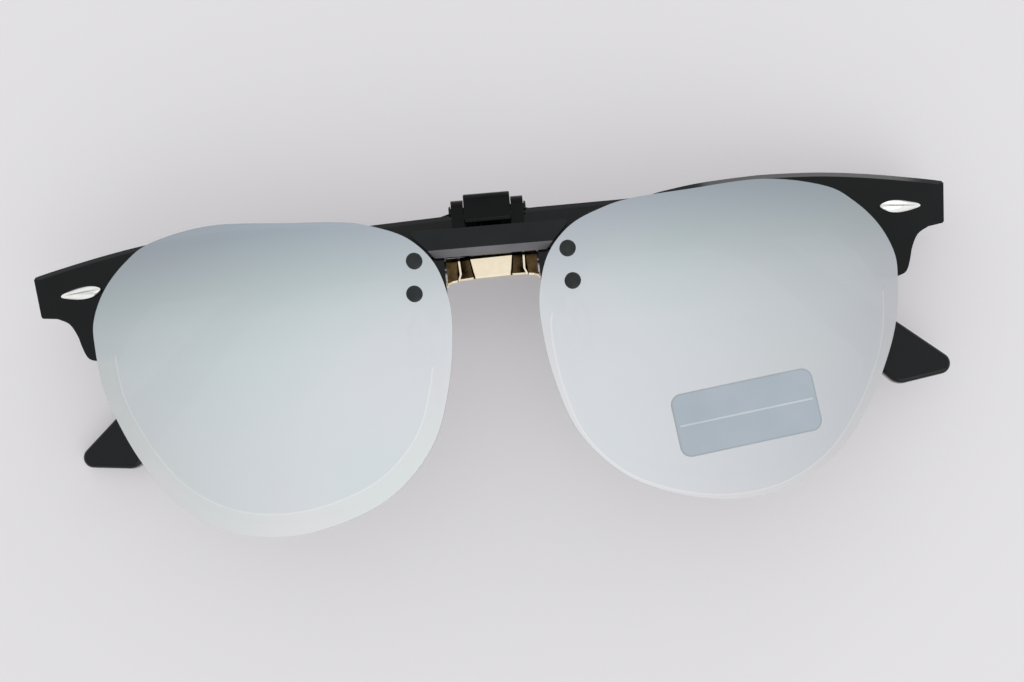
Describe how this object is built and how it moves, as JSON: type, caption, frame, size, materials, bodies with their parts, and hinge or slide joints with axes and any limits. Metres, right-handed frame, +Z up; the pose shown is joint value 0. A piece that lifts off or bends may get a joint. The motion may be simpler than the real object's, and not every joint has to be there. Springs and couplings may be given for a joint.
{
  "type": "browline spectacles with clip-on sun lenses",
  "caption": "Browline spectacles with folding arms, nose pads and a spring-clip pair of silver mirror sun lenses, lying face up on the folded arms.",
  "frame": {"origin": "centre of the underside of the whole object's box, on the table the folded arms lie on", "axes": "+X towards the wearer's left end of the front, +Y towards the top edge of the glasses, +Z up out of the front of the lenses"},
  "size_m": [0.1442, 0.0504, 0.0274],
  "materials": {
    "black_acetate": "polished",
    "clear_lens": "clear",
    "nylon": "translucent",
    "gold_metal": "polished gold plate",
    "silver_metal": "polished",
    "steel": "fine",
    "silicone": "clear, soft",
    "mirror_lens": "silver mirror coating on plastic",
    "clip_plastic": "satin",
    "rubber_pad": "matte"
  },
  "bodies": {
    "front": {"brow_bar": "black_acetate", "bridge": "gold_metal", "frame_lens_left": "clear_lens", "frame_lens_right": "clear_lens", "rim_cord_left": "nylon", "rim_cord_right": "nylon", "stud_left": "silver_metal", "stud_right": "silver_metal", "front_hinge_leaf_left": "steel", "front_hinge_leaf_right": "steel", "hinge_screw_left": "steel", "hinge_screw_right": "steel", "pad_arm_left": "gold_metal", "pad_arm_right": "gold_metal"},
    "arm_left": {"temple_left": "black_acetate", "temple_hinge_leaf_left": "steel"},
    "arm_right": {"temple_right": "black_acetate", "temple_hinge_leaf_right": "steel"},
    "pad_left": {"nose_pad_left": "silicone", "pad_screw_left": "steel"},
    "pad_right": {"nose_pad_right": "silicone", "pad_screw_right": "steel"},
    "clip": {"clip_bar": "clip_plastic", "clip_lens_left": "mirror_lens", "clip_lens_right": "mirror_lens", "rivet_upper_left": "clip_plastic", "rivet_upper_right": "clip_plastic", "rivet_lower_left": "clip_plastic", "rivet_lower_right": "clip_plastic", "jaw_pin": "steel", "jaw_spring": "steel"},
    "jaw": {"clip_jaw": "clip_plastic", "claw_pad_left": "rubber_pad", "claw_pad_right": "rubber_pad"}
  },
  "joints": [
    {"name": "temple_left_fold", "type": "hinge", "parent": "front", "child": "arm_left", "pos_m": [0.06626, 0.01859, 0.0055], "axis": [0, -1, 0], "range_deg": [0, 87.5]},
    {"name": "temple_right_fold", "type": "hinge", "parent": "front", "child": "arm_right", "pos_m": [-0.06662, 0.01859, 0.0113], "axis": [0, 1, 0], "range_deg": [0, 0.9]},
    {"name": "clip_lift", "type": "slide", "parent": "front", "child": "clip", "axis": [0.0218, 0.9998, -0.001], "range_m": [0, 0.055]},
    {"name": "jaw_open", "type": "hinge", "parent": "clip", "child": "jaw", "pos_m": [0.00073, 0.02259, 0.02501], "axis": [0.9988, -0.0218, -0.0436], "range_deg": [0, 25], "stiffness_Nm_per_rad": 0.02, "springref_deg": -11.46, "deforming": ["jaw_spring"]},
    {"name": "pad_left_swivel", "type": "hinge", "parent": "front", "child": "pad_left", "pos_m": [0.01207, 0.00099, 0.01396], "axis": [0.7839, -0.1198, 0.6092], "range_deg": [-10, 10]},
    {"name": "pad_right_swivel", "type": "hinge", "parent": "front", "child": "pad_right", "pos_m": [-0.0119, 0.00099, 0.01501], "axis": [-0.7279, -0.1198, 0.6752], "range_deg": [-10, 10]}
  ]
}
